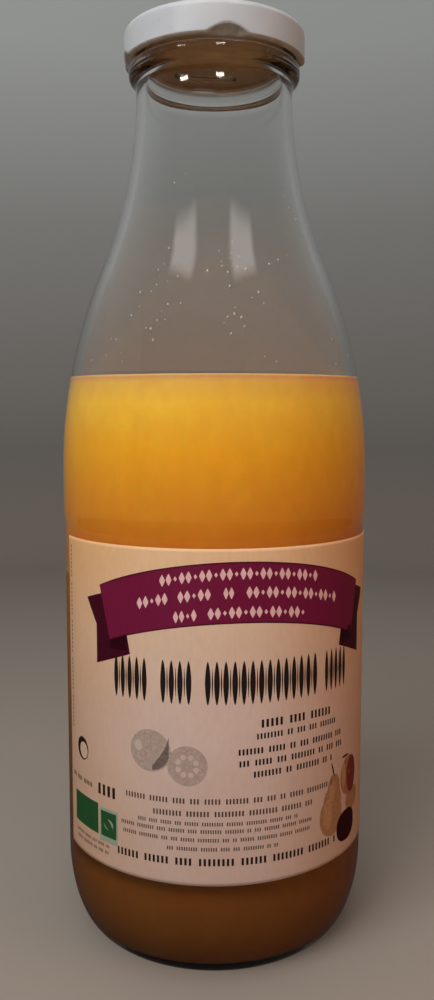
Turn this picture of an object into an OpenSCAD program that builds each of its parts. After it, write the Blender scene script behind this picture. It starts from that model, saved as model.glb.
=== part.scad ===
// Clear glass juice bottle with its drink, twist-off cap and wrap-around label.
// Millimetres, +Z up. The origin is the middle of the base, where the bottle
// stands, and the middle of the label faces -Y.

/* [Body] */
// Largest outside diameter, on the band under the shoulder
body_d = 87.8; // [72:0.2:106]
// Thickness of the glass wall
wall = 2.6; // [2:0.1:3.4]
// Height at which the straight side ends and the shoulder starts
shoulder_z = 132.5; // [105:0.5:165]
// How far the label panel lies behind the widest band
panel_depth = 0.45; // [0.2:0.05:0.8]
// Height of the slope between the label panel and the widest band
panel_slope = 4; // [2:0.5:8]

/* [Base] */
// How far the rounded heel turns in from the side to the standing ring
heel_in = 10; // [6:0.5:14]
// Height of the rounded heel
heel_h = 24; // [16:1:28]
// Width of the flat ring that the bottle stands on
bearing_w = 2.4; // [1.5:0.1:5]
// Height of the hollow under the base
punt_h = 5; // [3:0.5:10]
// Thickness of the glass in the base
base_t = 4.5; // [3:0.5:8]

/* [Shoulder and neck] */
// Radius of the outward curve of the shoulder
shoulder_r = 150; // [110:5:190]
// Radius of the inward curve that leads up into the neck
sweep_r = 128; // [90:2:170]
// Outside diameter of the neck
neck_d = 44; // [36:0.5:53]

/* [Finish] */
// How far the ring under the cap stands out of the neck
bead_out = 2.1; // [1:0.1:3]
// Height of the ring under the cap
bead_h = 5.7; // [5:0.1:9]
// Height of the sloping lower part of the ring
bead_slope = 3.5; // [2:0.1:4]
// Rounding of the ring's top edge
bead_edge_r = 0.8; // [0.4:0.1:0.9]
// Height of the threaded finish, from the ring to the rim
finish_h = 9; // [7.5:0.1:11]
// Rounding of the rim's edges
lip_r = 0.9; // [0.4:0.1:1.2]
// How far a thread ridge stands out of the finish
ridge_out = 1.4; // [0.8:0.1:2]
// Height of a thread ridge
ridge_h = 1.6; // [1:0.1:2]
// How far round the finish a thread ridge runs, in degrees
ridge_sweep = 58; // [45:1:75]
// Height of a thread ridge above the top of the ring under the cap
ridge_rise = 3.4; // [3:0.1:4.5]

/* [Drink] */
// Distance from the rim down to the surface of the drink
fill_drop = 95.6; // [25:0.1:120]

/* [Cap] */
// Thickness of the cap's sheet metal with its lining
cap_t = 0.5; // [0.3:0.05:0.8]
// Rounding of the cap's top edge
cap_edge_r = 1.8; // [1:0.1:2.4]
// Clearance between the thread ridges and the inside of the skirt
cap_gap = 1.5; // [0.6:0.1:2]
// Clearance between the ring and the cap's lower edge
cap_lift = 0.5; // [0.3:0.1:1]
// Radius of the rolled lower edge
curl_r = 0.8; // [0.5:0.05:1]
// Number of lugs, one for each thread ridge
lug_count = 4; // [3:1:6]
// How far round the cap a lug runs, in degrees
lug_sweep = 24; // [16:1:30]
// Clearance between a lug and the wall of the finish
lug_gap = 0.6; // [0.4:0.1:1]
// Height of the notch above each lug
notch_h = 1.8; // [1:0.1:2.2]
// Depth of the cap's sunk middle
cap_dish = 0.7; // [0.3:0.1:1.2]
// Clearance between the cap's sunk middle and the mouth
dish_gap = 1.2; // [0.8:0.1:3]
// Turn of the cap on the bottle, in degrees
cap_turn = -1.5; // [-45:0.5:45]

/* [Label] */
// Length of the label round the bottle
label_w = 118.5; // [90:0.5:180]
// Thickness of the paper
label_t = 0.15; // [0.1:0.05:0.3]
// Bare glass between the heel and the label
label_low_gap = 4.5; // [1:0.5:12]
// Bare glass between the label and the slope above it
label_high_gap = 2.5; // [1:0.5:12]
// Bare glass between the slope and the start of the shoulder
band_h = 9.6; // [4:0.1:20]

/* [Hidden] */
$fn = 180;
heel_steps = 10;
shoulder_steps = 12;
sweep_steps = 12;
lip_steps = 4;
dome_steps = 8;
overlap = 0.2;

body_r = body_d / 2;
panel_r = body_r - panel_depth;
neck_r = neck_d / 2;
bore_r = neck_r - wall;
bearing_r = panel_r - heel_in;
// Angle through which the shoulder leans before the sweep takes it back
lean = acos(1 - (body_r - neck_r) / (shoulder_r + sweep_r));
neck_z = shoulder_z + (shoulder_r + sweep_r) * sin(lean);
bead_top = neck_z + bead_h;
rim_z = bead_top + finish_h;
slope_top = shoulder_z - band_h;
slope_low = slope_top - panel_slope;
fill_z = rim_z - fill_drop;

label_z = heel_h + label_low_gap;
label_h = slope_low - label_high_gap - label_z;
label_angle = label_w / panel_r * 180 / PI;

ridge_r = neck_r + ridge_out;
ridge_z = bead_top + ridge_rise;
cap_in_r = ridge_r + cap_gap;
cap_r = cap_in_r + cap_t;
cap_low = bead_top + cap_lift;
cap_top = rim_z + cap_t;
lug_r = neck_r + lug_gap;
// The lug hangs from the skirt above its notch and reaches in under the ridge
lug_top = cap_low + notch_h + curl_r;
lug_clear = 0.15;
lug_nose_top = min(ridge_z - lug_clear, lug_top);
lug_half = cap_r * sin(lug_sweep / 2);
notch_r = (lug_half * lug_half + notch_h * notch_h) / (2 * notch_h);

// Points along an ellipse quadrant or circle arc, from angle a to angle b
function bow(c, rx, rz, a, b, n) =
    [for (i = [0:n]) let (t = a + (b - a) * i / n) c + [rx * cos(t), rz * sin(t)]];

// Points of a shallow dome from the axis at height top out to the ring [r, foot]
function dome(r, foot, top, n) =
    let (rise = top - foot, big = (r * r + rise * rise) / (2 * rise), half = asin(r / big))
    [for (i = [0:n]) let (t = 90 - half * i / n) [big * cos(t), top - big + big * sin(t)]];

// Side of the bottle from its heel to its neck, moved in by inset and with its foot at floor
function side(inset, floor) = concat(
    bow([bearing_r, heel_h], heel_in - inset, heel_h - floor, -90, 0, heel_steps),
    [[panel_r - inset, slope_low], [body_r - inset, slope_top]],
    bow([body_r - shoulder_r, shoulder_z], shoulder_r - inset, shoulder_r - inset,
        0, lean, shoulder_steps),
    bow([neck_r + sweep_r, neck_z], sweep_r + inset, sweep_r + inset,
        180 + lean - lean / sweep_steps, 180, sweep_steps - 1));

// The glass from the axis under the base, up the outside to the ring under the cap
function outside() = concat(
    dome(bearing_r - bearing_w, 0, punt_h, dome_steps),
    side(0, 0),
    [[neck_r + bead_out, neck_z + bead_slope]],
    bow([neck_r + bead_out - bead_edge_r, bead_top - bead_edge_r], bead_edge_r, bead_edge_r,
        0, 90, lip_steps),
    [[neck_r, bead_top]]);

// The rim, from the outside wall of the finish over into the bore
function rim() = concat(
    bow([neck_r - lip_r, rim_z - lip_r], lip_r, lip_r, 0, 90, lip_steps),
    bow([bore_r + lip_r, rim_z - lip_r], lip_r, lip_r, 90, 180, lip_steps));

// The inside of the glass, from the axis over the floor and up to the neck
function inside() = concat(
    dome(bearing_r, base_t, punt_h + base_t, dome_steps),
    [for (p = side(wall, base_t)) if (p[0] > bearing_r || p[1] > heel_h) p]);

function turned_round(list) = [for (i = [len(list) - 1:-1:0]) list[i]];

module thread_ridge() {
    nose = ridge_h / 4;
    rotate([0, 0, -ridge_sweep / 2])
        rotate_extrude(angle = ridge_sweep)
            polygon([
                [neck_r - overlap, ridge_z],
                [neck_r, ridge_z],
                [ridge_r, ridge_z + nose],
                [ridge_r, ridge_z + ridge_h - nose],
                [neck_r, ridge_z + ridge_h],
                [neck_r - overlap, ridge_z + ridge_h]]);
}

module bottle() {
    color([0.82, 0.88, 0.86, 0.35])
    rotate([0, 0, -90 + cap_turn])
    union() {
        rotate([0, 0, 180 / lug_count])
            rotate_extrude()
                polygon(concat(outside(), rim(), turned_round(inside())));
        for (i = [0:lug_count - 1])
            rotate([0, 0, i * 360 / lug_count])
                thread_ridge();
    }
}

module juice() {
    color([0.88, 0.58, 0.14])
    difference() {
        rotate_extrude()
            polygon(concat(inside(), [[0, neck_z]]));
        translate([0, 0, fill_z])
            cylinder(h = rim_z, r = body_d);
    }
}

// Sheet of the cap: a sunk middle, a ring that seats on the rim, a round edge and the skirt
module cap_shell() {
    dish_r = bore_r - dish_gap;
    inner_edge = cap_edge_r - cap_t;
    rotate_extrude()
        polygon(concat(
            [[0, rim_z - cap_dish], [dish_r - cap_dish, rim_z - cap_dish], [dish_r, rim_z]],
            bow([cap_in_r - inner_edge, rim_z - inner_edge], inner_edge, inner_edge,
                90, 0, lip_steps),
            [[cap_in_r, cap_low + curl_r], [cap_r, cap_low + curl_r]],
            bow([cap_r - cap_edge_r, cap_top - cap_edge_r], cap_edge_r, cap_edge_r,
                0, 90, lip_steps),
            [[dish_r, cap_top], [dish_r - cap_dish, cap_top - cap_dish],
             [0, cap_top - cap_dish]]));
}

module curl() {
    rotate_extrude()
        translate([cap_r - curl_r, cap_low + curl_r])
            circle(r = curl_r);
}

module lug_notch() {
    translate([0, 0, cap_low + notch_h - notch_r])
        rotate([0, 90, 0])
            cylinder(h = body_d, r = notch_r);
}

module lug() {
    root = cap_in_r + cap_t / 2;
    back = cap_in_r - cap_t;
    rotate([0, 0, -lug_sweep / 2])
        rotate_extrude(angle = lug_sweep)
            polygon([
                [lug_r, cap_low + curl_r / 2],
                [lug_r + curl_r / 2, cap_low],
                [back, cap_low],
                [root, lug_top - curl_r / 2],
                [root, lug_top + curl_r],
                [cap_in_r, lug_top + curl_r],
                [back, lug_nose_top],
                [lug_r, lug_nose_top]]);
}

module cap() {
    color([0.86, 0.86, 0.85])
    rotate([0, 0, -90 + cap_turn])
    union() {
        difference() {
            union() {
                cap_shell();
                curl();
            }
            for (i = [0:lug_count - 1])
                rotate([0, 0, i * 360 / lug_count])
                    lug_notch();
        }
        for (i = [0:lug_count - 1])
            rotate([0, 0, i * 360 / lug_count])
                lug();
    }
}

module label() {
    color([0.93, 0.85, 0.76])
    rotate([0, 0, -90 - label_angle / 2])
        rotate_extrude(angle = label_angle)
            translate([panel_r, label_z])
                square([label_t, label_h]);
}

bottle();
juice();
cap();
label();
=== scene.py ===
"""Bottle of orange juice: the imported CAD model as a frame, dressed for rendering.

Lengths in the shape functions are in millimetres and are scaled to metres when a
mesh is made. The middle of the label faces -Y and the bottle stands on z = 0.
"""

import math
import random

import bpy
from mathutils import Matrix, Vector


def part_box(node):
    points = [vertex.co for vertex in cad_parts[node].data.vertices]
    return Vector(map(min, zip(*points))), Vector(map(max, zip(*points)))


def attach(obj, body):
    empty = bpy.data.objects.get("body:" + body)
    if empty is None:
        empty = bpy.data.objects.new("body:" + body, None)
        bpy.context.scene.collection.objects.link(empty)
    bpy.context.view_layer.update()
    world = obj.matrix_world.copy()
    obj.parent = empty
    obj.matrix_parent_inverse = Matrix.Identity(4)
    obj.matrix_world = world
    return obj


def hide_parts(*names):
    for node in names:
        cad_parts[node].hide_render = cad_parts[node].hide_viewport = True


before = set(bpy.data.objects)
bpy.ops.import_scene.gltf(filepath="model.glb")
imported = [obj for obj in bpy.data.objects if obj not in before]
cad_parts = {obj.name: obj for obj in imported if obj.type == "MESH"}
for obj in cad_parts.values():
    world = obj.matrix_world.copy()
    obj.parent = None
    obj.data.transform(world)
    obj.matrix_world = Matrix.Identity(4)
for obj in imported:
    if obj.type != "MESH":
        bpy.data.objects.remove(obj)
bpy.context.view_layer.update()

MM = 0.001
SEED = 7

# Where the camera stands round the bottle, in degrees from the middle of the label
CAMERA_AZIMUTH = -10.0

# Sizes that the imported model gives
BOTTLE_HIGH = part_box("bottle")[1] / MM
JUICE_LOW, JUICE_HIGH = (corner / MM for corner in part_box("juice"))
CAP_LOW, CAP_HIGH = (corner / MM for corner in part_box("cap"))
LABEL_LOW, LABEL_HIGH = (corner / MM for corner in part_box("label"))
BODY_R = BOTTLE_HIGH.x
RIM_Z = BOTTLE_HIGH.z
FILL_Z = JUICE_HIGH.z
FLOOR_T = JUICE_LOW.z
CAP_R = CAP_HIGH.x
CAP_BASE_Z = CAP_LOW.z
CAP_TOP_Z = CAP_HIGH.z
LABEL_R = -LABEL_LOW.y
LABEL_Z = LABEL_LOW.z
LABEL_TOP_Z = LABEL_HIGH.z

# Sizes that part.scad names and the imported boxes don't show
WALL = 2.6
PANEL_R = 43.45
HEEL_IN = 10.0
HEEL_H = 24.0
BEARING_W = 2.4
PUNT_H = 5.0
SHOULDER_R = 150.0
SHOULDER_Z = 132.5
BAND_H = 9.6
PANEL_SLOPE = 4.0
SWEEP_R = 128.0
NECK_R = 22.0
BEAD_OUT = 2.1
BEAD_H = 5.7
BEAD_SLOPE = 3.5
BEAD_EDGE_R = 0.8
LIP_R = 0.9
RIDGE_OUT = 1.4
RIDGE_H = 1.6
RIDGE_RISE = 3.4
RIDGE_SWEEP = 58.0
LUG_COUNT = 4
CAP_TURN = -1.5
CAP_T = 0.5
CAP_EDGE_R = 1.8
CAP_DISH = 0.7
CURL_R = 0.8
DISH_GAP = 1.2
LABEL_W = 118.5
LABEL_T = 0.15

BEARING_R = PANEL_R - HEEL_IN
BORE_R = NECK_R - WALL
LEAN = math.degrees(math.acos(1 - (BODY_R - NECK_R) / (SHOULDER_R + SWEEP_R)))
NECK_Z = SHOULDER_Z + (SHOULDER_R + SWEEP_R) * math.sin(math.radians(LEAN))
BEAD_TOP = NECK_Z + BEAD_H
LABEL_H = LABEL_TOP_Z - LABEL_Z

# How far the haze reaches up the glass above the drink
HAZE_REACH = 46.0
# Height over which the ring's top runs out into the finish
FINISH_FOOT = 0.4
# How far in from the cap's outside its skirt and lugs lie
SKIRT_DEPTH = 4
# Less than this apart, two lengths count as the same
HAIR = 0.01


# ---------------------------------------------------------------- small tools

def smooth(x, low=0.0, high=1.0):
    """0 below low, 1 above high, and an even S between them."""
    t = min(max((x - low) / (high - low), 0.0), 1.0)
    return t * t * (3 - 2 * t)


def bow(centre, rx, rz, first, last, steps):
    """Points of an ellipse arc between two angles in degrees."""
    points = []
    for i in range(steps + 1):
        t = math.radians(first + (last - first) * i / steps)
        points.append((centre[0] + rx * math.cos(t), centre[1] + rz * math.sin(t)))
    return points


def line(start, end, steps):
    """Points from start to end, without start."""
    return [(start[0] + (end[0] - start[0]) * i / steps,
             start[1] + (end[1] - start[1]) * i / steps) for i in range(1, steps + 1)]


def dome(r, foot, top, steps):
    """Points of a shallow dome from the axis at height top out to the ring (r, foot)."""
    rise = top - foot
    big = (r * r + rise * rise) / (2 * rise)
    half = math.asin(r / big)
    points = []
    for i in range(steps + 1):
        t = math.pi / 2 - half * i / steps
        points.append((big * math.cos(t), top - big + big * math.sin(t)))
    return points


def add_mesh(name, points, faces, material, slot):
    """A new smooth object from points in millimetres; a piece of the part, given any slot, is hung
    under the part's root.
    """
    mesh = bpy.data.meshes.new(name)
    mesh.from_pydata([[c * MM for c in p] for p in points], [], faces)
    mesh.validate()
    mesh.shade_smooth()
    thing = bpy.data.objects.new(name, mesh)
    bpy.context.scene.collection.objects.link(thing)
    mesh.materials.append(material)
    if slot:
        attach(thing, "root")
    return thing


def lathe(name, profile, steps, material, slot, shape=None):
    """A profile of (radius, height) turned round the axis; shape(r, z, angle) may move a point."""
    on_axis = 1e-4
    points, faces, rows = [], [], []
    for r, z in profile:
        if r < on_axis:
            rows.append([len(points)])
            points.append((0, 0, z))
            continue
        rows.append(range(len(points), len(points) + steps))
        for j in range(steps):
            angle = 360 * j / steps
            pr, pz = shape(r, z, angle) if shape else (r, z)
            t = math.radians(angle)
            points.append((pr * math.cos(t), pr * math.sin(t), pz))
    for low, high in zip(rows, rows[1:]):
        for j in range(steps):
            k = (j + 1) % steps
            if len(low) == 1:
                faces.append((low[0], high[k], high[j]))
            elif len(high) == 1:
                faces.append((low[j], low[k], high[0]))
            else:
                faces.append((low[j], low[k], high[k], high[j]))
    return add_mesh(name, points, faces, material, slot)


# ------------------------------------------------------------- material tools

def new_material(name):
    """An empty node material with its Principled shader."""
    material = bpy.data.materials.new(name)
    material.use_nodes = True
    nodes = material.node_tree.nodes
    return material, nodes, material.node_tree.links, nodes["Principled BSDF"]


def put(nodes, kind, **values):
    """A node with some of its inputs or settings filled in."""
    node = nodes.new(kind)
    for key, value in values.items():
        if key in node.inputs:
            node.inputs[key].default_value = value
        else:
            setattr(node, key, value)
    return node


def noise(nodes, links, scale, detail=4.0, stretch=(1, 1, 1)):
    """Object-space noise; scale is in lumps per metre."""
    place = put(nodes, "ShaderNodeTexCoord")
    mapping = put(nodes, "ShaderNodeMapping", Scale=stretch)
    texture = put(nodes, "ShaderNodeTexNoise", Scale=scale, Detail=detail)
    links.new(place.outputs["Object"], mapping.inputs["Vector"])
    links.new(mapping.outputs["Vector"], texture.inputs["Vector"])
    return texture.outputs["Fac"]


def ramp(nodes, links, source, stops):
    """A colour ramp from (position, colour) stops."""
    node = put(nodes, "ShaderNodeValToRGB")
    band = node.color_ramp.elements
    while len(band) < len(stops):
        band.new(1.0)
    for element, (position, colour) in zip(band, stops):
        element.position = position
        element.color = colour
    links.new(source, node.inputs["Fac"])
    return node.outputs["Color"]


def split_place(nodes, links):
    """The object's own coordinates, in metres, one socket for each axis."""
    place = put(nodes, "ShaderNodeTexCoord")
    split = put(nodes, "ShaderNodeSeparateXYZ")
    links.new(place.outputs["Object"], split.inputs["Vector"])
    return split.outputs


def share_along(nodes, links, low, high, axis="Z"):
    """0 at low and 1 at high along an axis of the object, in millimetres."""
    place = split_place(nodes, links)
    share = put(nodes, "ShaderNodeMapRange")
    share.inputs["From Min"].default_value = low * MM
    share.inputs["From Max"].default_value = high * MM
    links.new(place[axis], share.inputs["Value"])
    return share.outputs["Result"]


def fade_between(nodes, links, source, start, end, first, last):
    """An even change from first to last while the source goes from start to end."""
    node = put(nodes, "ShaderNodeMapRange", interpolation_type="SMOOTHSTEP")
    node.inputs["From Min"].default_value = start
    node.inputs["From Max"].default_value = end
    node.inputs["To Min"].default_value = first
    node.inputs["To Max"].default_value = last
    links.new(source, node.inputs["Value"])
    return node.outputs["Result"]


def multiply(nodes, links, first, second):
    """The product of two sockets."""
    node = put(nodes, "ShaderNodeMath", operation="MULTIPLY")
    links.new(first, node.inputs[0])
    links.new(second, node.inputs[1])
    return node.outputs["Value"]


def mix_colour(nodes, links, share, first, second, blend="MIX"):
    """A colour mix; each of first, second and share is a socket or a plain value."""
    node = put(nodes, "ShaderNodeMix", data_type="RGBA", blend_type=blend)
    sockets = (node.inputs[0], node.inputs[6], node.inputs[7])
    for socket, value in zip(sockets, (share, first, second)):
        if isinstance(value, bpy.types.NodeSocket):
            links.new(value, socket)
        else:
            socket.default_value = value
    return node.outputs[2]


def bump(nodes, links, shader, height, depth, strength=1.0):
    """Bump from a height socket; depth in millimetres."""
    node = put(nodes, "ShaderNodeBump", Strength=strength, Distance=depth * MM)
    links.new(height, node.inputs["Height"])
    links.new(node.outputs["Normal"], shader.inputs["Normal"])


def roughness(nodes, links, shader, source, low, high):
    """Roughness that wanders between low and high."""
    node = put(nodes, "ShaderNodeMapRange")
    node.inputs["To Min"].default_value = low
    node.inputs["To Max"].default_value = high
    links.new(source, node.inputs["Value"])
    links.new(node.outputs["Result"], shader.inputs["Roughness"])


# ------------------------------------------------------------------ materials

def glass_material():
    """Clear bottle glass, faintly green, that lets lamp light through to the drink."""
    material, nodes, links, shader = new_material("clear_glass")
    shader.inputs["Base Color"].default_value = (0.965, 0.97, 0.96, 1)
    shader.inputs["Transmission Weight"].default_value = 1.0
    shader.inputs["Roughness"].default_value = 0.03
    shader.inputs["IOR"].default_value = 1.5
    bump(nodes, links, shader, noise(nodes, links, 45, 2, (1, 1, 0.35)), 0.12, 0.35)
    clear = put(nodes, "ShaderNodeBsdfTransparent", Color=(0.95, 0.95, 0.94, 1))
    surface = shader.outputs["BSDF"]
    path = put(nodes, "ShaderNodeLightPath")
    for ray in ("Is Shadow Ray", "Is Diffuse Ray"):
        mix = put(nodes, "ShaderNodeMixShader")
        links.new(path.outputs[ray], mix.inputs["Fac"])
        links.new(surface, mix.inputs[1])
        links.new(clear.outputs["BSDF"], mix.inputs[2])
        surface = mix.outputs["Shader"]
    links.new(surface, nodes["Material Output"].inputs["Surface"])
    return material


def juice_material():
    """Cloudy orange juice with painted light and shade: paler and yellower towards its surface,
    where light from above is painted in, and painted shade that darkens it to brown towards the
    bottom; a thin beige foam at the very top.
    """
    material, nodes, links, shader = new_material("orange_juice")
    share = share_along(nodes, links, 0, FILL_Z)
    # Painted light and shade: bright yellow near the surface, darkening to deep brown at the
    # bottom; the last stop is the foam's own colour.
    colour = ramp(nodes, links, share, [
        (0.00, (0.14, 0.052, 0.012, 1)),
        (0.16, (0.235, 0.085, 0.016, 1)),
        (0.72, (0.75, 0.255, 0.024, 1)),
        (0.88, (0.98, 0.50, 0.026, 1)),
        (0.955, (0.97, 0.62, 0.07, 1)),
        (0.990, (0.80, 0.53, 0.12, 1)),
        (0.997, (0.62, 0.38, 0.20, 1))])
    pulp = noise(nodes, links, 260, 5, (1, 1, 0.7))
    clouds = noise(nodes, links, 26, 3, (1, 1, 0.5))
    tint = ramp(nodes, links, pulp, [(0.3, (0.93, 0.90, 0.82, 1)), (0.7, (1, 1, 1, 1))])
    depth = ramp(nodes, links, clouds, [(0.3, (0.94, 0.91, 0.86, 1)), (0.7, (1, 1, 1, 1))])
    colour = mix_colour(nodes, links, 1.0, colour, tint, "MULTIPLY")
    colour = mix_colour(nodes, links, 1.0, colour, depth, "MULTIPLY")
    links.new(colour, shader.inputs["Base Color"])
    shader.inputs["Roughness"].default_value = 0.35
    shader.inputs["IOR"].default_value = 1.12
    shader.inputs["Subsurface Weight"].default_value = 0.8
    shader.inputs["Subsurface Radius"].default_value = (1.0, 0.32, 0.08)
    shader.inputs["Subsurface Scale"].default_value = 0.010
    return material


def film_material():
    """Thin haze of juice and vapour left on the inside of the glass, fading upwards."""
    material, nodes, links, shader = new_material("juice_film")
    shader.inputs["Base Color"].default_value = (0.66, 0.42, 0.28, 1)
    shader.inputs["Roughness"].default_value = 0.5
    share = share_along(nodes, links, FILL_Z, FILL_Z + HAZE_REACH)
    fade = ramp(nodes, links, share, [
        (0.0, (0.13, 0.13, 0.13, 1)),
        (0.3, (0.085, 0.085, 0.085, 1)),
        (1.0, (0.03, 0.03, 0.03, 1))])
    links.new(fade, shader.inputs["Alpha"])
    return material


def enamel_material():
    """White enamel on the outside of the cap, faintly uneven and a little worn."""
    material, nodes, links, shader = new_material("cap_enamel")
    wear = noise(nodes, links, 700, 6)
    soil = noise(nodes, links, 90, 4)
    colour = ramp(nodes, links, soil, [
        (0.3, (0.475, 0.51, 0.565, 1)), (0.7, (0.53, 0.565, 0.62, 1))])
    fleck = ramp(nodes, links, wear, [(0.26, (0.88, 0.86, 0.83, 1)), (0.32, (1, 1, 1, 1))])
    links.new(mix_colour(nodes, links, 1.0, colour, fleck, "MULTIPLY"), shader.inputs["Base Color"])
    roughness(nodes, links, shader, soil, 0.24, 0.38)
    bump(nodes, links, shader, wear, 0.03, 0.4)
    shader.inputs["Coat Weight"].default_value = 0.12
    shader.inputs["Coat Roughness"].default_value = 0.12
    return material


def cap_shade_material():
    """Painted shade and painted reflection for the cap's rolled edge and pressed lugs: a dark
    tan-grey standing in for the shade under the skirt and the brown of the lacquer that they
    reflect.
    """
    material, nodes, links, shader = new_material("cap_edge_painted_shade")
    patch = noise(nodes, links, 500, 5)
    colour = ramp(nodes, links, patch, [(0.3, (0.27, 0.23, 0.19, 1)), (0.7, (0.36, 0.32, 0.27, 1))])
    links.new(colour, shader.inputs["Base Color"])
    roughness(nodes, links, shader, patch, 0.4, 0.55)
    bump(nodes, links, shader, patch, 0.03, 0.3)
    return material


def lacquer_material():
    """Golden lacquer inside the cap."""
    material, nodes, links, shader = new_material("cap_lacquer")
    patch = noise(nodes, links, 160, 4)
    colour = ramp(nodes, links, patch, [
        (0.3, (0.46, 0.25, 0.085, 1)), (0.7, (0.60, 0.36, 0.14, 1))])
    links.new(colour, shader.inputs["Base Color"])
    roughness(nodes, links, shader, patch, 0.3, 0.45)
    shader.inputs["Metallic"].default_value = 0.35
    bump(nodes, links, shader, patch, 0.03, 0.3)
    return material


def paper_material():
    """Coated label paper with painted light and shade: lighter and warmer towards its top, where
    light through the drink is painted in, and painted shade darker towards the bottom and at both
    ends, most at the right end.
    """
    material, nodes, links, shader = new_material("label_paper")
    # Painted light and shade: darker at the foot of the label, lighter and warmer at its top.
    share = share_along(nodes, links, LABEL_Z, LABEL_TOP_Z)
    colour = ramp(nodes, links, share, [
        (0.0, (0.62, 0.455, 0.385, 1)),
        (0.45, (0.69, 0.525, 0.47, 1)),
        (0.75, (0.77, 0.56, 0.42, 1)),
        (1.0, (0.86, 0.57, 0.335, 1))])
    # Painted shade: both ends of the label are tinted warmer and darker, the right end more, where
    # the bottle turns from the light.
    across = share_along(nodes, links, -PANEL_R, PANEL_R, "X")
    ends = ramp(nodes, links, across, [
        (0.02, (1.0, 0.88, 0.71, 1)), (0.28, (1, 1, 1, 1)), (0.56, (1, 1, 1, 1)),
        (0.95, (0.92, 0.76, 0.62, 1))])
    colour = mix_colour(nodes, links, 1.0, colour, ends, "MULTIPLY")
    fibre = noise(nodes, links, 900, 6, (1, 1, 0.4))
    cloud = noise(nodes, links, 60, 4)
    tint = ramp(nodes, links, fibre, [(0.3, (0.95, 0.94, 0.93, 1)), (0.7, (1, 1, 1, 1))])
    stain = ramp(nodes, links, cloud, [(0.3, (0.96, 0.945, 0.93, 1)), (0.7, (1, 1, 1, 1))])
    colour = mix_colour(nodes, links, 1.0, colour, tint, "MULTIPLY")
    colour = mix_colour(nodes, links, 1.0, colour, stain, "MULTIPLY")
    links.new(colour, shader.inputs["Base Color"])
    roughness(nodes, links, shader, fibre, 0.42, 0.56)
    bump(nodes, links, shader, fibre, 0.02, 0.5)
    shader.inputs["Specular IOR Level"].default_value = 0.25
    return material


def ink_material(name, colour, dark=0.86):
    """Printed ink that takes the paper's fine grain."""
    material, nodes, links, shader = new_material(name)
    grain = noise(nodes, links, 1400, 5)
    low = tuple(c * dark for c in colour[:3]) + (1,)
    links.new(ramp(nodes, links, grain, [(0.3, low), (0.7, colour)]), shader.inputs["Base Color"])
    roughness(nodes, links, shader, grain, 0.40, 0.55)
    bump(nodes, links, shader, grain, 0.01, 0.4)
    shader.inputs["Specular IOR Level"].default_value = 0.15
    return material


def water_material():
    """Small drops, pale whitish beige and partly clear: partly froth with a little pulp, and partly
    painted highlight standing in for the glints on them.
    """
    material, nodes, links, shader = new_material("drop_water")
    grain = noise(nodes, links, 2500, 3)
    colour = ramp(nodes, links, grain, [(0.3, (0.80, 0.74, 0.66, 1)), (0.7, (0.95, 0.92, 0.88, 1))])
    links.new(colour, shader.inputs["Base Color"])
    shader.inputs["Transmission Weight"].default_value = 0.35
    shader.inputs["Roughness"].default_value = 0.08
    shader.inputs["IOR"].default_value = 1.33
    return material


# --------------------------------------------------------------------- bottle

def side(inset, floor, heel_steps=26, curve_steps=30):
    """The side from the heel to the neck, moved in by inset and with its foot at floor."""
    ease = 1
    slope_top = SHOULDER_Z - BAND_H
    slope_low = slope_top - PANEL_SLOPE
    slope_steps = 8
    points = bow((BEARING_R, HEEL_H), HEEL_IN - inset, HEEL_H - floor, -90, 0, heel_steps)
    points += line(points[-1], (PANEL_R - inset, slope_low - ease), 12)
    for i in range(1, slope_steps + 1):
        z = slope_low - ease + (PANEL_SLOPE + 2 * ease) * i / slope_steps
        rise = smooth(z, slope_low - ease, slope_top + ease)
        points.append((PANEL_R - inset + (BODY_R - PANEL_R) * rise, z))
    points += line(points[-1], (BODY_R - inset, SHOULDER_Z), 4)
    points += bow((BODY_R - SHOULDER_R, SHOULDER_Z), SHOULDER_R - inset, SHOULDER_R - inset,
                  0, LEAN, curve_steps)[1:]
    points += bow((NECK_R + SWEEP_R, NECK_Z), SWEEP_R + inset, SWEEP_R + inset,
                  180 + LEAN, 180, curve_steps)[1:]
    return points


def turn_from_lug(angle):
    """Degrees from the nearest lug and thread ridge, which stand at the same places."""
    pitch = 360 / LUG_COUNT
    return (angle + 90 - CAP_TURN + pitch / 2) % pitch - pitch / 2


def thread(r, z, angle):
    """Raises the thread ridges out of the finish."""
    if r < NECK_R - HAIR or z < BEAD_TOP + FINISH_FOOT or z > RIM_Z - LIP_R:
        return r, z
    run_out = 6
    along = 1 - smooth(abs(turn_from_lug(angle)), RIDGE_SWEEP / 2 - run_out, RIDGE_SWEEP / 2)
    middle = BEAD_TOP + RIDGE_RISE + RIDGE_H / 2
    across = 1 - smooth(abs(z - middle), RIDGE_H * 0.2, RIDGE_H * 0.62)
    return r + RIDGE_OUT * along * across, z


def ring_profile():
    """Profile of the ring under the cap: a slope, an upright band and a rounded top edge."""
    ring_r = NECK_R + BEAD_OUT
    turn_z = NECK_Z + BEAD_SLOPE
    soft = 0.5
    curved = 0.35
    sway = 0.06
    steps = 15
    points = []
    for i in range(1, steps):
        t = i / steps
        share = t + sway * math.sin(2 * math.pi * t)
        out = BEAD_OUT * smooth(t) ** 0.9 * curved + BEAD_OUT * (1 - curved) * t
        points.append((NECK_R + out, NECK_Z + (BEAD_SLOPE - soft) * share))
    points += bow((ring_r - soft, turn_z), soft, soft, -40, 0, 5)
    points += line(points[-1], (ring_r, BEAD_TOP - BEAD_EDGE_R), 3)
    edge = (ring_r - BEAD_EDGE_R, BEAD_TOP - BEAD_EDGE_R)
    points += bow(edge, BEAD_EDGE_R, BEAD_EDGE_R, 0, 90, 6)[1:]
    points += line(points[-1], (NECK_R + 0.3, BEAD_TOP), 2)
    return points + [(NECK_R + 0.08, BEAD_TOP + 0.1), (NECK_R, BEAD_TOP + FINISH_FOOT)]


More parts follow.
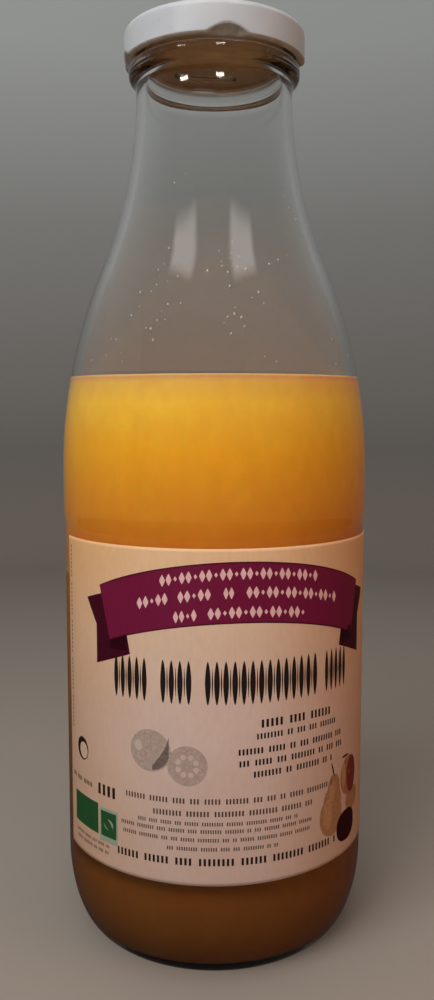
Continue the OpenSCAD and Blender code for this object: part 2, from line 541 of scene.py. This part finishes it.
def build_bottle(material):
    """The glass: outside, rim and inside in one closed skin."""
    outer = dome(BEARING_R - BEARING_W, 0, PUNT_H, 14)
    outer += side(0, 0)
    outer += ring_profile()
    outer += line(outer[-1], (NECK_R, RIM_Z - LIP_R), 24)
    rim = bow((NECK_R - LIP_R, RIM_Z - LIP_R), LIP_R, LIP_R, 8, 90, 8)
    rim += bow((BORE_R + LIP_R, RIM_Z - LIP_R), LIP_R, LIP_R, 90, 180, 8)
    inner = dome(BEARING_R, FLOOR_T, PUNT_H + FLOOR_T, 14)
    inner += [p for p in side(WALL, FLOOR_T) if p[0] > BEARING_R + HAIR or p[1] > HEEL_H]
    thing = lathe("bottle_glass", outer + rim + inner[::-1], 256, material, "glass", thread)
    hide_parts("bottle")


def build_juice(material):
    """The drink: it reaches just into the wall, and its surface sinks a little from the wall."""
    reach = 0.3
    sink = 0.1225
    climb_in = 3.0
    steps = 15
    skin = WALL - reach
    foot = FLOOR_T - reach
    inner = dome(BEARING_R, foot, PUNT_H + foot, 12)
    for r, z in side(skin, foot):
        if (r > BEARING_R + HAIR or z > HEEL_H) and z < FILL_Z - 1:
            inner.append((r, z))
    wall_r = inside_radius(FILL_Z) + reach
    inner.append((wall_r, FILL_Z - 0.4))
    inner.append((wall_r, FILL_Z + sink))
    edge = []
    for i in range(1, steps + 1):
        t = i / steps
        z = FILL_Z - sink + 2 * sink * (1 - t) ** 3
        edge.append((wall_r - reach - climb_in * t, z))
    flat = line(edge[-1], (0, FILL_Z - sink), 10)
    thing = lathe("juice_body", inner + edge + flat, 224, material, "juice")
    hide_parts("juice")


def inside_radius(z):
    """Radius of the inside of the glass at a height on the shoulder."""
    points = side(WALL, FLOOR_T)
    for (r0, z0), (r1, z1) in zip(points, points[1:]):
        if z0 <= z <= z1 and z1 > z0:
            return r0 + (r1 - r0) * (z - z0) / (z1 - z0)
    return BORE_R


def build_film(material):
    """A breath-thin skin of haze on the inside of the glass above the drink."""
    gap = 0.06
    start = 0.8
    rows = 24
    profile = []
    for i in range(rows + 1):
        z = FILL_Z + start + (HAZE_REACH - start) * i / rows
        profile.append((inside_radius(z) - gap, z))
    lathe("juice_haze", profile, 128, material, "juice")


# ------------------------------------------------------------------------ cap

def lug_shape(r, z, angle):
    """Presses the skirt in and up at each lug, in a mound that is tallest at its middle."""
    half_width = 16.5
    fade_low, fade_high, rise = 0.4, 0.9, 2.4
    push_in, push_up = 2.0, 0.25
    if r < CAP_R - SKIRT_DEPTH:
        return r, z
    along = 1 - smooth(abs(turn_from_lug(angle)), 0.0, half_width)
    press = smooth(along, 0.0, 0.7)
    low = 1 - smooth(z, CAP_BASE_Z + fade_low, CAP_BASE_Z + fade_high + rise * along)
    return r - push_in * press * low, z + push_up * press * low


def cap_underside():
    """Profile of the cap's inside, from the axis out and down the skirt."""
    inner_edge = CAP_EDGE_R - CAP_T
    inner_r = CAP_R - CAP_T
    dish_r = BORE_R - DISH_GAP
    dish_slope = 1.2
    skirt_low = 1.8
    points = [(0, RIM_Z - CAP_DISH)]
    points += line(points[-1], (dish_r - dish_slope, RIM_Z - CAP_DISH), 10)
    points += [(dish_r - dish_slope / 2, RIM_Z - CAP_DISH * 0.5), (dish_r, RIM_Z)]
    points += line(points[-1], (inner_r - inner_edge, RIM_Z), 3)
    corner = (inner_r - inner_edge, RIM_Z - inner_edge)
    points += bow(corner, inner_edge, inner_edge, 90, 0, 6)[1:]
    return points + line(points[-1], (inner_r, CAP_BASE_Z + skirt_low), 6)


def cap_outside(start):
    """Profile of the cap's outside, from the curl up the skirt and over to the axis."""
    dish_r = BORE_R - DISH_GAP
    dented = 3.4
    brim, dish_slope, dish_steps = 0.8, 2.2, 8
    points = line(start, (CAP_R, CAP_BASE_Z + dented), 16)
    points += line(points[-1], (CAP_R, CAP_TOP_Z - CAP_EDGE_R), 6)
    corner = (CAP_R - CAP_EDGE_R, CAP_TOP_Z - CAP_EDGE_R)
    points += bow(corner, CAP_EDGE_R, CAP_EDGE_R, 0, 90, 12)[1:]
    points += line(points[-1], (dish_r + brim, CAP_TOP_Z), 3)
    for i in range(1, dish_steps + 1):
        t = i / dish_steps
        points.append((dish_r + brim - dish_slope * t, CAP_TOP_Z - CAP_DISH * smooth(t)))
    return points + line(points[-1], (0, CAP_TOP_Z - CAP_DISH), 10)


def colour_cap(mesh, lacquered):
    """Lacquer on the faces of the first lacquered points, and the painted-shade material on curl
    and lugs.
    """
    curl_top, dent_top, dent_in = 0.8, 3.6, 0.3
    points = mesh.vertices
    for face in mesh.polygons:
        middle = sum((points[i].co for i in face.vertices), Vector()) / len(face.vertices) / MM
        r = math.hypot(middle.x, middle.y)
        z = middle.z - CAP_BASE_Z
        on_skirt = r > CAP_R - SKIRT_DEPTH and z < dent_top
        if min(face.vertices) < lacquered:
            face.material_index = 1
        elif on_skirt and (z < curl_top or r < CAP_R - dent_in):
            # painted shade on the curl and the pressed lugs
            face.material_index = 2


def build_cap(enamel, lacquer, edge):
    """The twist-off cap: one sheet with a rolled edge, white outside and golden inside."""
    steps = 320
    under = cap_underside()
    curl_steps = 24
    curl_r = CURL_R * 1.2
    curl = bow((CAP_R - curl_r, CAP_BASE_Z + curl_r), curl_r, curl_r, 62, 360, curl_steps)
    outer = cap_outside(curl[-1])
    thing = lathe("cap_shell", under + curl + outer, steps, enamel, "cap", lug_shape)
    thing.data.materials.append(lacquer)
    # The third material is the painted shade for the curl and lugs.
    thing.data.materials.append(edge)
    lacquered = 1 + (len(under) + curl_steps // 2) * steps
    colour_cap(thing.data, lacquered)
    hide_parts("cap")


# ---------------------------------------------------------------------- label

def paper_swell(u, v):
    """How far the paper stands off the glass at a place on the label, in millimetres."""
    slow_depth, quick_depth, least = 0.022, 0.010, 0.03
    slow = math.sin(u * 0.21 + 1.3) * math.sin(v * 0.13 + 0.4)
    quick = math.sin(u * 0.55 + v * 0.32) * math.sin(v * 0.47 - 0.6)
    return slow_depth * slow + quick_depth * quick + least


def on_label(u, v, lift):
    """The point at u along and v up the label, lift outside the paper."""
    angle = u / PANEL_R - math.pi / 2
    r = LABEL_R + paper_swell(u, v) + lift
    return r * math.cos(angle), r * math.sin(angle), LABEL_Z + v


def build_label(paper):
    """The wrapped sheet."""
    columns, rows = 180, 96
    points, faces = [], []
    for j in range(rows + 1):
        for i in range(columns + 1):
            u = LABEL_W * (i / columns - 0.5)
            points.append(on_label(u, LABEL_H * j / rows, 0))
    wide = columns + 1
    for j in range(rows):
        for i in range(columns):
            a = j * wide + i
            faces.append((a, a + 1, a + 1 + wide, a + wide))
    thing = add_mesh("label_sheet", points, faces, paper, "label")
    solid = thing.modifiers.new("paper", "SOLIDIFY")
    solid.thickness = LABEL_T * MM
    solid.offset = -1
    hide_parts("label")


class Print:
    """Flat shapes in one ink, laid on the label."""

    def __init__(self, name, ink, lift):
        self.name, self.ink, self.lift = name, ink, lift
        self.points, self.faces = [], []

    def strip(self, start, end, low, high, step):
        """The area between the curves low(u) and high(u), from u = start to u = end."""
        columns = max(2, math.ceil(abs(end - start) / step))
        first = len(self.points)
        for i in range(columns + 1):
            u = start + (end - start) * i / columns
            for v in (low(u), high(u)):
                self.points.append(on_label(u, v, self.lift))
        for i in range(columns):
            a = first + 2 * i
            self.faces.append((a, a + 2, a + 3, a + 1))

    def blob(self, u0, v0, wide, tall, power=2.0, lean=0.0, steps=28):
        """An oval; power above 2 squares it off, and lean tips it to the right."""
        first = len(self.points)
        self.points.append(on_label(u0, v0, self.lift))
        rings = 3
        for ring in range(1, rings + 1):
            for k in range(steps):
                t = 2 * math.pi * k / steps
                c, s = math.cos(t), math.sin(t)
                x = math.copysign(abs(c) ** (2 / power), c) * wide / 2 * ring / rings
                y = math.copysign(abs(s) ** (2 / power), s) * tall / 2 * ring / rings
                self.points.append(on_label(u0 + x + lean * y, v0 + y, self.lift))
        for k in range(steps):
            n = (k + 1) % steps
            self.faces.append((first, first + 1 + k, first + 1 + n))
            for ring in range(rings - 1):
                a = first + 1 + ring * steps
                self.faces.append((a + k, a + steps + k, a + steps + n, a + n))

    def make(self):
        """Turns the shapes laid so far into one piece."""
        add_mesh(self.name, self.points, self.faces, self.ink, "label")


def arc(top, radius, centre=-1.0):
    """A curve that is highest at centre and falls away on both sides."""
    return lambda u: top - radius + math.sqrt(radius * radius - (u - centre) ** 2)


def level(v):
    """A curve that stays at one height."""
    return lambda u: v


# The ribbon's curves, and how far its top and its foot reach from the label's middle
RIBBON_TOP = arc(84.6, 104.0)
RIBBON_LOW = arc(69.0, 104.0)
RIBBON_TOP_HALF = 40.8
RIBBON_LOW_HALF = 37.1


def print_ribbon_tails(ink):
    """The two tails behind the ribbon, with a notch at their outer ends."""
    end, notch, behind = 46.5, 42.3, 40.4
    tip, tip_slope, notch_depth = 72.7, 0.29, 6.7
    tail_low, fold_low, fold_top = 66.0, 55.5, 70.0
    fold_end, cut = 30.3, 31.2
    tails = Print("print_ribbon_tails", ink, 0.012)

    def outer_low(u):
        return tip - notch_depth * (end - u) / (end - notch) if u > notch else tail_low

    def outer_top(u):
        return tip + (end - u) * tip_slope

    def inner_low(u):
        return fold_low + (notch - u) * 0.35

    def inner_top(u):
        return fold_top if u > cut else 64.2 - 5.0 * (cut - u)

    for way in (-1, 1):
        def flip(curve, way=way):
            return lambda u: curve(way * u)
        tails.strip(*sorted((way * end, way * behind)), flip(outer_low), flip(outer_top), 0.3)
        tails.strip(*sorted((way * notch, way * fold_end)), flip(inner_low), flip(inner_top), 0.3)
        tails.strip(*sorted((way * behind, way * 38.0)), level(tail_low), level(74.6), 0.4)
    tails.make()


def print_ribbon_band(ink):
    """The bowed band, whose ends lean inwards to the foot."""
    columns, rows = 160, 10
    lean = RIBBON_TOP_HALF - RIBBON_LOW_HALF
    band = Print("print_ribbon_band", ink, 0.022)
    for i in range(columns + 1):
        share = 2 * i / columns - 1
        for j in range(rows + 1):
            u = RIBBON_TOP_HALF * share - lean * share * (1 - j / rows)
            v = RIBBON_LOW(u) + (RIBBON_TOP(u) - RIBBON_LOW(u)) * j / rows
            band.points.append(on_label(u, v, band.lift))
    wide = rows + 1
    for i in range(columns):
        for j in range(rows):
            a = i * wide + j
            band.faces.append((a, a + wide, a + wide + 1, a + 1))
    band.make()


def print_ribbon(band_ink, fold_ink, shade_ink):
    """The bowed ribbon with its dark rims and folded tails."""
    print_ribbon_tails(fold_ink)
    print_ribbon_band(band_ink)
    within, beyond = 0.28, 0.05
    rim = Print("print_ribbon_rim", fold_ink, 0.027)
    rim.strip(-RIBBON_TOP_HALF, RIBBON_TOP_HALF,
              lambda u: RIBBON_TOP(u) - within, lambda u: RIBBON_TOP(u) + beyond, 0.5)
    rim.strip(-RIBBON_LOW_HALF, RIBBON_LOW_HALF,
              lambda u: RIBBON_LOW(u) - beyond, lambda u: RIBBON_LOW(u) + within, 0.5)
    rim.make()
    fold = Print("print_ribbon_fold", shade_ink, 0.018)
    for way in (-1, 1):
        fold.strip(*sorted((way * 37.0, way * 31.3)), level(60.4), level(65.0), 0.4)
    fold.make()


def print_beads(name, ink, lift, rows):
    """Rows of lozenges, with a dot for every third; a row is (v, height, pitch, drop, groups)."""
    bow_half = 28
    sheet = Print(name, ink, lift)
    for v, tall, pitch, drop, groups in rows:
        for start, end in groups:
            count = max(1, round((end - start) / pitch))
            step = (end - start) / count
            for k in range(count):
                u = start + step * (k + 0.5)
                middle = v - drop * (u / bow_half) ** 2
                if k % 3 == 2:
                    sheet.blob(u, middle, step * 0.52, tall * 0.42, 1.1, 0.0, 12)
                else:
                    sheet.blob(u, middle, step * 0.90, tall, 1.15, 0.0, 16)
    sheet.make()


def print_rows(name, ink, lift, rows, random_source):
    """Rows of even upright ticks in groups; a row is (v, start, end, height, drop)."""
    wide, pitch, gap, half_tall = 0.27, 0.52, 0.62, 0.42
    sheet = Print(name, ink, lift)
    for v, start, end, height, drop in rows:
        middle = 0.5 * (start + end)
        half = 0.5 * (end - start)
        u = start
        left = random_source.randint(3, 9)
        while u < end:
            centre = v - drop * ((u - middle) / half) ** 2
            sheet.strip(u, u + height * wide, level(centre - height * half_tall),
                        level(centre + height * half_tall), height)
            u += height * pitch
            left -= 1
            if left == 0:
                u += height * gap
                left = random_source.randint(2, 9)
    sheet.make()


def print_frieze(ink):
    """A dark row of upright spindles, with thin darts between them, where the title stands."""
    sheet = Print("print_frieze", ink, 0.02)
    foot, top = 47.9, 59.3
    groups = ((-36.0, -25.0, 5), (-22.0, -13.0, 4), (-10.4, 21.8, 14), (24.0, 34.0, 5))
    middle = 0.5 * (foot + top)
    tall = top - foot
    for start, end, count in groups:
        pitch = (end - start) / count
        for k in range(count):
            sheet.blob(start + pitch * (k + 0.5), middle, pitch * 0.64, tall, 1.6)
            if k:
                sheet.blob(start + pitch * k, middle, pitch * 0.16, tall * 0.7, 1.3, 0.0, 12)
    sheet.make()


def print_ovals(name, ink, lift, ovals):
    """One piece of ovals, each (u, v, width, height) and perhaps its power, lean and steps."""
    sheet = Print(name, ink, lift)
    for oval in ovals:
        sheet.blob(*oval)
    sheet.make()


def print_grey_fruit(grey, grey_dark, pale):
    """A whole orange and a slice, both grey, on the left."""
    orange_u, orange_v, orange_wide, orange_tall = -24.6, 35.0, 11.6, 11.2
    slice_u, slice_v, slice_wide = -14.6, 31.8, 10.6
    print_ovals("print_grey_orange", grey, 0.012, [
        (orange_u, orange_v, orange_wide, orange_tall),
        (slice_u, slice_v, slice_wide, slice_wide)])
    shade = Print("print_grey_shade", grey_dark, 0.02)
    shade_r, shade_start, shade_end = 5.4, -24.0, -19.4

    def crescent_low(u):
        return orange_v - 0.95 * math.sqrt(max(0.0, shade_r ** 2 - (u - orange_u) ** 2))

    def crescent_top(u):
        return crescent_low(u) + 1.3 + 0.9 * (u - shade_start)

    shade.strip(shade_start, shade_end, crescent_low, crescent_top, 0.3)
    shade.make()
    wedges, wedge_r, wedge_wide = 8, 2.5, 1.5
    light = [(-28.0, 36.0, 2.2, 3.0)]
    for k in range(wedges):
        t = 2 * math.pi * (k + 0.5) / wedges
        light.append((slice_u + wedge_r * math.cos(t), slice_v + wedge_r * math.sin(t),
                      wedge_wide, wedge_wide))
    print_ovals("print_grey_light", pale, 0.022, light)


def print_fruit(pear, pear_light, peach, blush, plum):
    """A small heap of fruit low on the right: a pear and a round one like it, a peach, a plum."""
    print_ovals("print_pear", pear, 0.014, [
        (27.9, 12.9, 10.0, 11.4, 2.1), (28.4, 16.6, 8.2, 9.4, 2.1), (28.9, 20.0, 5.8, 8.4, 2.1),
        (39.4, 14.2, 8.6, 6.4, 2.2)])
    print_ovals("print_pear_light", pear_light, 0.02, [
        (26.2, 13.6, 3.8, 8.4), (28.0, 19.6, 2.4, 5.6), (33.9, 22.4, 2.2, 7.0)])
    print_ovals("print_peach", peach, 0.016, [(37.0, 21.6, 9.8, 11.2, 2.1)])
    print_ovals("print_peach_blush", blush, 0.019, [(38.6, 21.4, 6.2, 10.4, 2.1)])
    print_ovals("print_stems", plum, 0.024, [
        (28.3, 25.6, 0.6, 4.6, 1.6, -0.3, 12), (34.8, 27.6, 4.2, 0.7, 1.6, 0.0, 12)])
    print_ovals("print_plum", plum, 0.026, [(35.6, 7.7, 10.6, 8.8, 2.4)])


def print_greens(green, pale):
    """Two plain green fields low on the left, one of them framed and with a pale oval."""
    border = Print("print_green_frame", pale, 0.012)
    border.strip(-42.0, -34.9, level(6.6), level(16.0), 0.5)
    border.make()
    sheet = Print("print_green", green, 0.022)
    sheet.strip(-55.3, -42.6, level(8.0), level(16.6), 0.5)
    sheet.strip(-41.4, -35.5, level(8.2), level(15.2), 0.5)
    sheet.make()
    print_ovals("print_pale_oval", pale, 0.03, [(-38.4, 11.7, 3.6, 3.0)])


def print_margins(ink):
    """A column of small ticks along each end of the label."""
    first, pitch, tall, wide = 34.0, 1.18, 0.75, 0.6
    left_u, left_count, left_group = -57.2, 44, 9
    right_u, right_count, right_group = 54.6, 16, 7
    margin = Print("print_margin", ink, 0.02)
    for k in range(left_count):
        v = first + pitch * k
        if (k + 1) % left_group:
            margin.strip(left_u, left_u + wide, level(v), level(v + tall), 0.3)
        if k < right_count and (k + 1) % right_group:
            margin.strip(right_u, right_u + wide, level(v), level(v + tall), 0.3)
    margin.make()


def build_print(random_source):
    """All print on the label, as thin shapes on the paper."""
    purple = ink_material("ink_purple", (0.185, 0.010, 0.050, 1))
    purple_dark = ink_material("ink_purple_fold", (0.070, 0.004, 0.018, 1), 0.6)
    pink = ink_material("ink_pink", (0.86, 0.52, 0.52, 1))
    dark = ink_material("ink_dark", (0.022, 0.012, 0.010, 1))
    brown = ink_material("ink_brown", (0.10, 0.060, 0.045, 1))
    purple_shade = ink_material("ink_purple_shade", (0.035, 0.002, 0.009, 1), 0.6)
    print_ribbon(purple, purple_dark, purple_shade)
    tall, pitch, drop = 3.1, 1.75, 3.6
    print_beads("print_ribbon_rows", pink, 0.032, [
        (81.6, tall, pitch, drop, ((-21.8, 21.2),)),
        (76.8, tall, pitch, drop, ((-28.2, -19.4), (-17.0, -8.4), (-5.4, -2.6), (0.4, 28.6))),
        (71.8, tall, pitch, drop, ((-18.2, -12.0), (-9.4, 17.2)))])
    print_frieze(dark)
    print_rows("print_side_rows", dark, 0.02, [
        (42.9, 4.6, 26.0, 2.5, 0.3),
        (39.6, 3.4, 29.4, 1.8, 0.3),
        (35.8, -1.4, 32.0, 1.9, 0.4),
        (32.7, -1.2, 32.0, 1.9, 0.4),
        (29.6, 2.6, 28.0, 1.9, 0.3),
        (20.8, -57.0, -45.0, 1.5, 0.0),
        (21.0, -42.4, -36.2, 3.6, 0.0)], random_source)
    print_rows("print_low_rows", brown, 0.02, [
        (22.6, -32.0, 27.5, 1.7, 0.3),
        (19.3, -23.8, 19.6, 1.7, 0.3),
        (16.6, -28.2, 15.4, 1.2, 0.2),
        (14.6, -33.6, 20.4, 1.2, 0.2),
        (12.3, -33.0, 19.6, 1.2, 0.2),
        (9.9, -20.0, 9.0, 1.2, 0.2),
        (5.6, -54.5, -38.0, 1.0, 0.0),
        (3.8, -53.8, -38.4, 1.0, 0.0)], random_source)
    print_rows("print_foot_row", dark, 0.02, [(6.4, -35.0, 29.8, 2.3, 0.4)], random_source)
    print_margins(brown)
    print_ovals("print_round_mark", dark, 0.018, [(-50.2, 29.8, 6.4, 6.4)])
    paper = ink_material("ink_paper", (0.70, 0.50, 0.38, 1))
    print_ovals("print_round_middle", paper, 0.026, [(-49.6, 29.4, 4.4, 4.6)])
    print_grey_fruit(
        ink_material("ink_grey", (0.50, 0.385, 0.33, 1), 0.72),
        ink_material("ink_grey_dark", (0.22, 0.16, 0.14, 1), 0.6),
        ink_material("ink_grey_light", (0.60, 0.47, 0.40, 1), 0.9))
    print_fruit(
        ink_material("ink_pear", (0.44, 0.22, 0.10, 1), 0.7),
        ink_material("ink_pear_light", (0.50, 0.26, 0.12, 1), 0.8),
        ink_material("ink_peach", (0.42, 0.17, 0.08, 1), 0.7),
        ink_material("ink_blush", (0.22, 0.035, 0.025, 1), 0.6),
        ink_material("ink_plum", (0.040, 0.002, 0.003, 1), 0.6))
    print_greens(ink_material("ink_green", (0.022, 0.095, 0.030, 1)),
                 ink_material("ink_pale_green", (0.34, 0.40, 0.30, 1)))


# ---------------------------------------------------------------------- drops

def drop_place(random_source):
    """Height and angle of one drop: some are scattered, and some lie in two patches."""
    patches = (-124, -92)
    patch_low, patch_high, patch_spread = 8, 34, 5
    low, reach, spread = 3, 52, 75
    if random_source.random() < 0.4:
        z = FILL_Z + random_source.uniform(patch_low, patch_high)
        angle = random_source.gauss(random_source.choice(patches), patch_spread)
    else:
        z = FILL_Z + low + reach * random_source.random() ** 1.6
        angle = -90 + random_source.uniform(-spread, spread)
    return z, math.radians(angle)


def add_drop(points, faces, z, angle, size, tall):
    """Adds one flat-backed drop to the lists, hung on the inside of the glass."""
    around, rings = 10, 3
    bulge, sunk = 0.55, 0.04
    r = inside_radius(z)
    lean = inside_radius(z + 1) - r
    out = Vector((math.cos(angle), math.sin(angle), 0))
    aside = Vector((-math.sin(angle), math.cos(angle), 0))
    up = (Vector((0, 0, 1)) + out * lean).normalized()
    normal = aside.cross(up).normalized()
    base = out * r + Vector((0, 0, z)) + normal * sunk
    first = len(points)
    points.append(tuple(base - normal * size * bulge))
    for ring in range(1, rings + 1):
        t = ring / rings
        middle = base - normal * size * bulge * (1 - t * t)
        for k in range(around):
            a = 2 * math.pi * k / around
            p = middle + aside * size * t * math.cos(a) + up * tall * t * math.sin(a)
            points.append(tuple(p))
    for k in range(around):
        n = (k + 1) % around
        faces.append((first, first + 1 + n, first + 1 + k))
        for ring in range(rings - 1):
            a = first + 1 + ring * around
            faces.append((a + k, a + n, a + around + n, a + around + k))
    faces.append([first + 1 + (rings - 1) * around + k for k in range(around)])


def build_drops(material, random_source):
    """Small drops on the inside of the shoulder."""
    count = 70
    points, faces = [], []
    for _ in range(count):
        z, angle = drop_place(random_source)
        size = random_source.uniform(0.10, 0.34)
        tall = size * random_source.uniform(1.0, 1.7)
        add_drop(points, faces, z, angle, size, tall)
    add_mesh("drops", points, faces, material, "glass")


# ---------------------------------------------------------------------- stage

def build_stage():
    """Pale floor that rises into a grey wall all round, which glows with painted light."""
    floor_r, bend, wall_z = 620.0, 200.0, 1100.0
    below = -0.02
    paint = stage_material()
    floor = [(0, below)] + line((0, below), (floor_r, below), 12)
    wall = bow((floor_r, bend), bend, bend, -90, 0, 16)
    wall += line(wall[-1], (floor_r + bend, wall_z), 8)
    ground = lathe("studio_floor", floor, 96, paint, None)
    ground.visible_glossy = False
    lathe("studio_wall", wall[::-1], 96, paint, None)


def stage_material():
    """Matt studio paint: pale floor, and a wall that glows with painted light behind the bottle,
    brighter up high and towards the back.
    """
    material, nodes, links, shader = new_material("studio_paint")
    height = 900
    share = share_along(nodes, links, 0, height)
    colour = ramp(nodes, links, share, [
        (0.0, (0.33, 0.30, 0.275, 1)),
        (0.12, (0.16, 0.155, 0.15, 1)),
        (1.0, (0.12, 0.12, 0.12, 1))])
    links.new(colour, shader.inputs["Base Color"])
    # Painted light: the wall glows, dark near the floor and brighter up high.
    glow = ramp(nodes, links, share, [
        (0.0, (0, 0, 0, 1)),
        (0.05, (0.020, 0.018, 0.017, 1)),
        (0.20, (0.075, 0.071, 0.067, 1)),
        (0.40, (0.125, 0.128, 0.124, 1)),
        (0.62, (0.235, 0.247, 0.243, 1)),
        (1.0, (0.30, 0.31, 0.31, 1))])
    place = split_place(nodes, links)
    front, back = -0.3, 0.4
    left, right = -0.35, 0.55
    # The painted glow fades towards the front and a little to the right.
    behind = fade_between(nodes, links, place["Y"], front, back, 0.35, 1.0)
    across = fade_between(nodes, links, place["X"], left, right, 1.02, 0.84)
    links.new(glow, shader.inputs["Emission Color"])
    links.new(multiply(nodes, links, behind, across), shader.inputs["Emission Strength"])
    shader.inputs["Roughness"].default_value = 0.9
    return material


def aim_at_bottle(thing, azimuth, elevation, distance):
    """Places a lamp or card so that it faces the shoulder; azimuth is from the camera's side."""
    aim = Vector((0, 0, 160)) * MM
    a = math.radians(azimuth + CAMERA_AZIMUTH)
    e = math.radians(elevation)
    back = Vector((math.sin(a) * math.cos(e), -math.cos(a) * math.cos(e), math.sin(e)))
    thing.location = aim + back * distance * MM
    thing.rotation_mode = "QUATERNION"
    thing.rotation_quaternion = (-back).to_track_quat("-Z", "Y")


def add_light(name, azimuth, elevation, distance, size, power, colour):
    """A soft lamp that gives light but isn't itself seen in the glass."""
    data = bpy.data.lights.new(name, "AREA")
    data.shape = "RECTANGLE"
    data.size, data.size_y = size[0] * MM, size[1] * MM
    data.energy = power
    data.color = colour
    thing = bpy.data.objects.new(name, data)
    bpy.context.scene.collection.objects.link(thing)
    aim_at_bottle(thing, azimuth, elevation, distance)
    thing.visible_glossy = False
    thing.visible_transmission = False


def card_material(name, size, soft, glow, colour):
    """A glowing card whose light fades out over its soft edge."""
    material, nodes, links, shader = new_material(name)
    place = split_place(nodes, links)
    masks = []
    for axis, width in zip("XY", size):
        far = put(nodes, "ShaderNodeMath", operation="ABSOLUTE")
        links.new(place[axis], far.inputs[0])
        start, end = (width / 2 - soft) * MM, width / 2 * MM
        masks.append(fade_between(nodes, links, far.outputs["Value"], start, end, glow ** 0.5, 0.0))
    shader.inputs["Base Color"].default_value = (0, 0, 0, 1)
    shader.inputs["Specular IOR Level"].default_value = 0.0
    shader.inputs["Emission Color"].default_value = colour + (1,)
    links.new(multiply(nodes, links, *masks), shader.inputs["Emission Strength"])
    material.cycles.emission_sampling = "NONE"
    return material


def add_card(name, azimuth, elevation, distance, size, soft, glow, colour):
    """A card that is seen only as a reflection in the glass and the enamel."""
    x, y = size[0] / 2, size[1] / 2
    corners = [(-x, -y, 0), (x, -y, 0), (x, y, 0), (-x, y, 0)]
    material = card_material(name, size, soft, glow, colour)
    thing = add_mesh(name, corners, [(0, 1, 2, 3)], material, None)
    aim_at_bottle(thing, azimuth, elevation, distance)
    thing.visible_camera = False
    thing.visible_diffuse = False
    thing.visible_transmission = False
    thing.visible_shadow = False


def build_lights():
    """Soft lamps for the light itself, and cards for the streaks and glints in the glass."""
    warm = (0.965, 0.90, 0.815)
    amber = (1.0, 0.42, 0.13)
    cool = (0.90, 0.90, 1.0)
    rosy = (1.0, 0.93, 0.93)
    # Name, azimuth, elevation, distance, size, power, colour
    lamps = (
        ("key", -34, 42, 560, (260, 300), 1.95, warm),
        ("front", -2, 50, 560, (200, 200), 0.58, warm),
        ("low_front", -16, -4, 420, (160, 160), 0.20, cool),
        ("amber", 62, 8, 520, (200, 240), 0.44, amber),
        ("top", 5, 84, 560, (300, 300), 0.9, warm))
    # Name, azimuth, elevation, distance, size, soft edge, glow, colour. The flag is a black
    # card that keeps the two low bulbs out of the lower shoulder.
    cards = (
        ("card_left", -37.5, 54, 560, (225, 190), 52, 3.5, rosy),
        ("card_right", 34, 54, 560, (225, 190), 52, 3.4, rosy),
        ("card_flag", -17.5, 26.5, 223, (330, 73), 1, 0.0, rosy),
        ("bulb_high", -42, 52, 540, (12, 12), 5, 45.0, warm),
        ("bulb_left", -43, 28.2, 560, (95, 7), 3, 42.0, warm),
        ("bulb_front", 8, 28.2, 560, (95, 7), 3, 50.0, warm))
    for lamp in lamps:
        add_light(*lamp)
    for card in cards:
        add_card(*card)


def build_world():
    """The room's dim light, darker from below."""
    world = bpy.data.worlds.new("room")
    world.use_nodes = True
    nodes, links = world.node_tree.nodes, world.node_tree.links
    place = put(nodes, "ShaderNodeTexCoord")
    split = put(nodes, "ShaderNodeSeparateXYZ")
    glow = put(nodes, "ShaderNodeMapRange")
    glow.inputs["From Min"].default_value = -0.2
    glow.inputs["From Max"].default_value = 0.05
    glow.inputs["To Min"].default_value = 0.035
    glow.inputs["To Max"].default_value = 0.165
    links.new(place.outputs["Generated"], split.inputs["Vector"])
    links.new(split.outputs["Z"], glow.inputs["Value"])
    links.new(glow.outputs["Result"], nodes["Background"].inputs["Strength"])
    nodes["Background"].inputs["Color"].default_value = (0.86, 0.82, 0.80, 1)
    bpy.context.scene.world = world


def build_camera():
    """A close camera, about level with the drink's surface and tipped a little down."""
    distance, height = 274.07, 150.75
    yaw, pitch = -10.16, -5.46
    data = bpy.data.cameras.new("camera")
    data.lens = 33.62
    data.sensor_width = 36.0
    data.clip_start = 10 * MM
    thing = bpy.data.objects.new("camera", data)
    bpy.context.scene.collection.objects.link(thing)
    a = math.radians(CAMERA_AZIMUTH)
    place = Vector((math.sin(a) * distance, -math.cos(a) * distance, height)) * MM
    turn = (Matrix.Rotation(math.radians(yaw), 4, "Z")
            @ Matrix.Rotation(math.radians(90 + pitch), 4, "X"))
    thing.matrix_world = Matrix.Translation(place) @ turn
    bpy.context.scene.camera = thing


def main():
    """Builds the studio and then each piece of the part."""
    bpy.context.scene.view_settings.view_transform = "Standard"
    build_camera()
    build_stage()
    build_lights()
    build_world()
    source = random.Random(SEED)
    build_bottle(glass_material())
    build_juice(juice_material())
    build_film(film_material())
    build_cap(enamel_material(), lacquer_material(), cap_shade_material())
    build_label(paper_material())
    build_print(source)
    build_drops(water_material(), source)


main()
